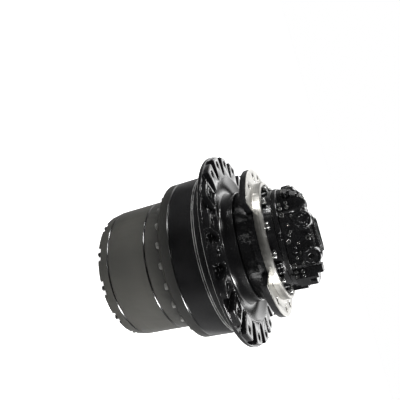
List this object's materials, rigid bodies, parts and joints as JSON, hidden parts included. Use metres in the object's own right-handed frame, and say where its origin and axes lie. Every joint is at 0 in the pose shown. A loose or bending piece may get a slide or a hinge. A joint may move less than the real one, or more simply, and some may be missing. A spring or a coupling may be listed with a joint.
{
  "type": "planetary hub drive with motor",
  "caption": "Planetary hub drive with a lugged sprocket flange, an eared frame flange, and a hydraulic motor with port and valve blocks.",
  "frame": {"origin": "centre of the end cover's outer face, on the axis of rotation", "axes": "+Z along the axis from the end cover to the motor; the motor's ports face +X and its valve block faces -Y"},
  "size_m": [0.72, 0.72, 0.772],
  "materials": {
    "black_paint": "glossy black paint on castings",
    "grey_paint": "satin dark grey paint",
    "bare_steel": "machined and ground steel",
    "bolt_steel": "black oxide steel",
    "bronze": "plain bronze",
    "seal_rubber": "matt nitrile rubber",
    "brake_facing": "sintered friction facing"
  },
  "bodies": {
    "frame_side": {"bearing_1_inner": "bare_steel", "bearing_1_rollers": "bare_steel", "bearing_2_inner": "bare_steel", "bearing_2_rollers": "bare_steel", "seal_ring_frame": "bare_steel", "seal_cushion_frame": "seal_rubber", "spindle": "black_paint", "motor_plate": "black_paint", "spacer_ring": "black_paint", "motor_bolts": "bolt_steel", "motor_case": "black_paint", "end_plate": "black_paint", "end_plate_bolts": "bolt_steel", "valve_block": "black_paint", "upper_cap": "black_paint", "lower_cap": "black_paint", "valve_bolts": "bolt_steel", "upper_side_block": "black_paint", "lower_side_block": "black_paint", "side_block_bolts": "bolt_steel", "control_plugs": "bolt_steel", "carrier_2": "bare_steel", "carrier_bolts": "bolt_steel", "planet_pins_2": "bare_steel", "planet_bearings_2": "bare_steel", "shaft_bearing": "bare_steel", "shaft_seal": "seal_rubber", "brake_plates": "bare_steel"},
    "hub_side": {"cover": "grey_paint", "cover_bolts": "bolt_steel", "oil_plugs": "bolt_steel", "thrust_pad": "bronze", "ring_gear_1": "grey_paint", "ring_gear_2": "grey_paint", "clamp_bolts": "bolt_steel", "hub": "black_paint", "sprocket_flange": "black_paint", "bearing_1_outer": "bare_steel", "bearing_2_outer": "bare_steel", "seal_ring_hub": "bare_steel", "seal_cushion_hub": "seal_rubber"},
    "stage_1_carrier": {"carrier_1": "bare_steel", "planet_pins_1": "bare_steel", "planet_bearings_1": "bare_steel", "sun_gear_2": "bare_steel"},
    "input": {"input_shaft": "bare_steel", "sun_gear_1": "bare_steel", "brake_hub": "bare_steel", "brake_discs": "brake_facing"},
    "planet_1a": {"planet_1a": "bare_steel"},
    "planet_1b": {"planet_1b": "bare_steel"},
    "planet_1c": {"planet_1c": "bare_steel"},
    "planet_2a": {"planet_2a": "bare_steel"},
    "planet_2b": {"planet_2b": "bare_steel"},
    "planet_2c": {"planet_2c": "bare_steel"},
    "brake_piston": {"brake_piston": "bare_steel"},
    "valve_spool": {"valve_spool": "bare_steel"}
  },
  "joints": [
    {"name": "hub_spin", "type": "hinge", "parent": "frame_side", "child": "hub_side", "pos_m": [0, 0, 0], "axis": [0, 0, 1], "continuous": true},
    {"name": "carrier_spin", "type": "hinge", "parent": "frame_side", "child": "stage_1_carrier", "pos_m": [0, 0, 0], "axis": [0, 0, 1], "continuous": true},
    {"name": "input_spin", "type": "hinge", "parent": "frame_side", "child": "input", "pos_m": [0, 0, 0], "axis": [0, 0, 1], "continuous": true},
    {"name": "planet_1a_spin", "type": "hinge", "parent": "stage_1_carrier", "child": "planet_1a", "pos_m": [0.11431, 0.066, 0], "axis": [0, 0, 1], "continuous": true},
    {"name": "planet_2a_spin", "type": "hinge", "parent": "frame_side", "child": "planet_2a", "pos_m": [0.11821, -0.06825, 0], "axis": [0, 0, 1], "continuous": true},
    {"name": "planet_1b_spin", "type": "hinge", "parent": "stage_1_carrier", "child": "planet_1b", "pos_m": [-0.11431, 0.066, 0], "axis": [0, 0, 1], "continuous": true},
    {"name": "planet_2b_spin", "type": "hinge", "parent": "frame_side", "child": "planet_2b", "pos_m": [0, 0.1365, 0], "axis": [0, 0, 1], "continuous": true},
    {"name": "planet_1c_spin", "type": "hinge", "parent": "stage_1_carrier", "child": "planet_1c", "pos_m": [0, -0.132, 0], "axis": [0, 0, 1], "continuous": true},
    {"name": "planet_2c_spin", "type": "hinge", "parent": "frame_side", "child": "planet_2c", "pos_m": [-0.11821, -0.06825, 0], "axis": [0, 0, 1], "continuous": true},
    {"name": "brake_release", "type": "slide", "parent": "frame_side", "child": "brake_piston", "axis": [0, 0, 1], "range_m": [0, 0.0025]},
    {"name": "spool_travel", "type": "slide", "parent": "frame_side", "child": "valve_spool", "axis": [0, 1, 0], "range_m": [-0.006, 0.006]}
  ],
  "couplings": [
    {"joint": "carrier_spin", "follows": "hub_spin", "ratio": -3.3333},
    {"joint": "input_spin", "follows": "hub_spin", "ratio": -22.111},
    {"joint": "planet_1a_spin", "follows": "hub_spin", "ratio": 11.267},
    {"joint": "planet_2a_spin", "follows": "hub_spin", "ratio": 2.8571},
    {"joint": "planet_1b_spin", "follows": "hub_spin", "ratio": 11.267},
    {"joint": "planet_2b_spin", "follows": "hub_spin", "ratio": 2.8571},
    {"joint": "planet_1c_spin", "follows": "hub_spin", "ratio": 11.267},
    {"joint": "planet_2c_spin", "follows": "hub_spin", "ratio": 2.8571}
  ]
}
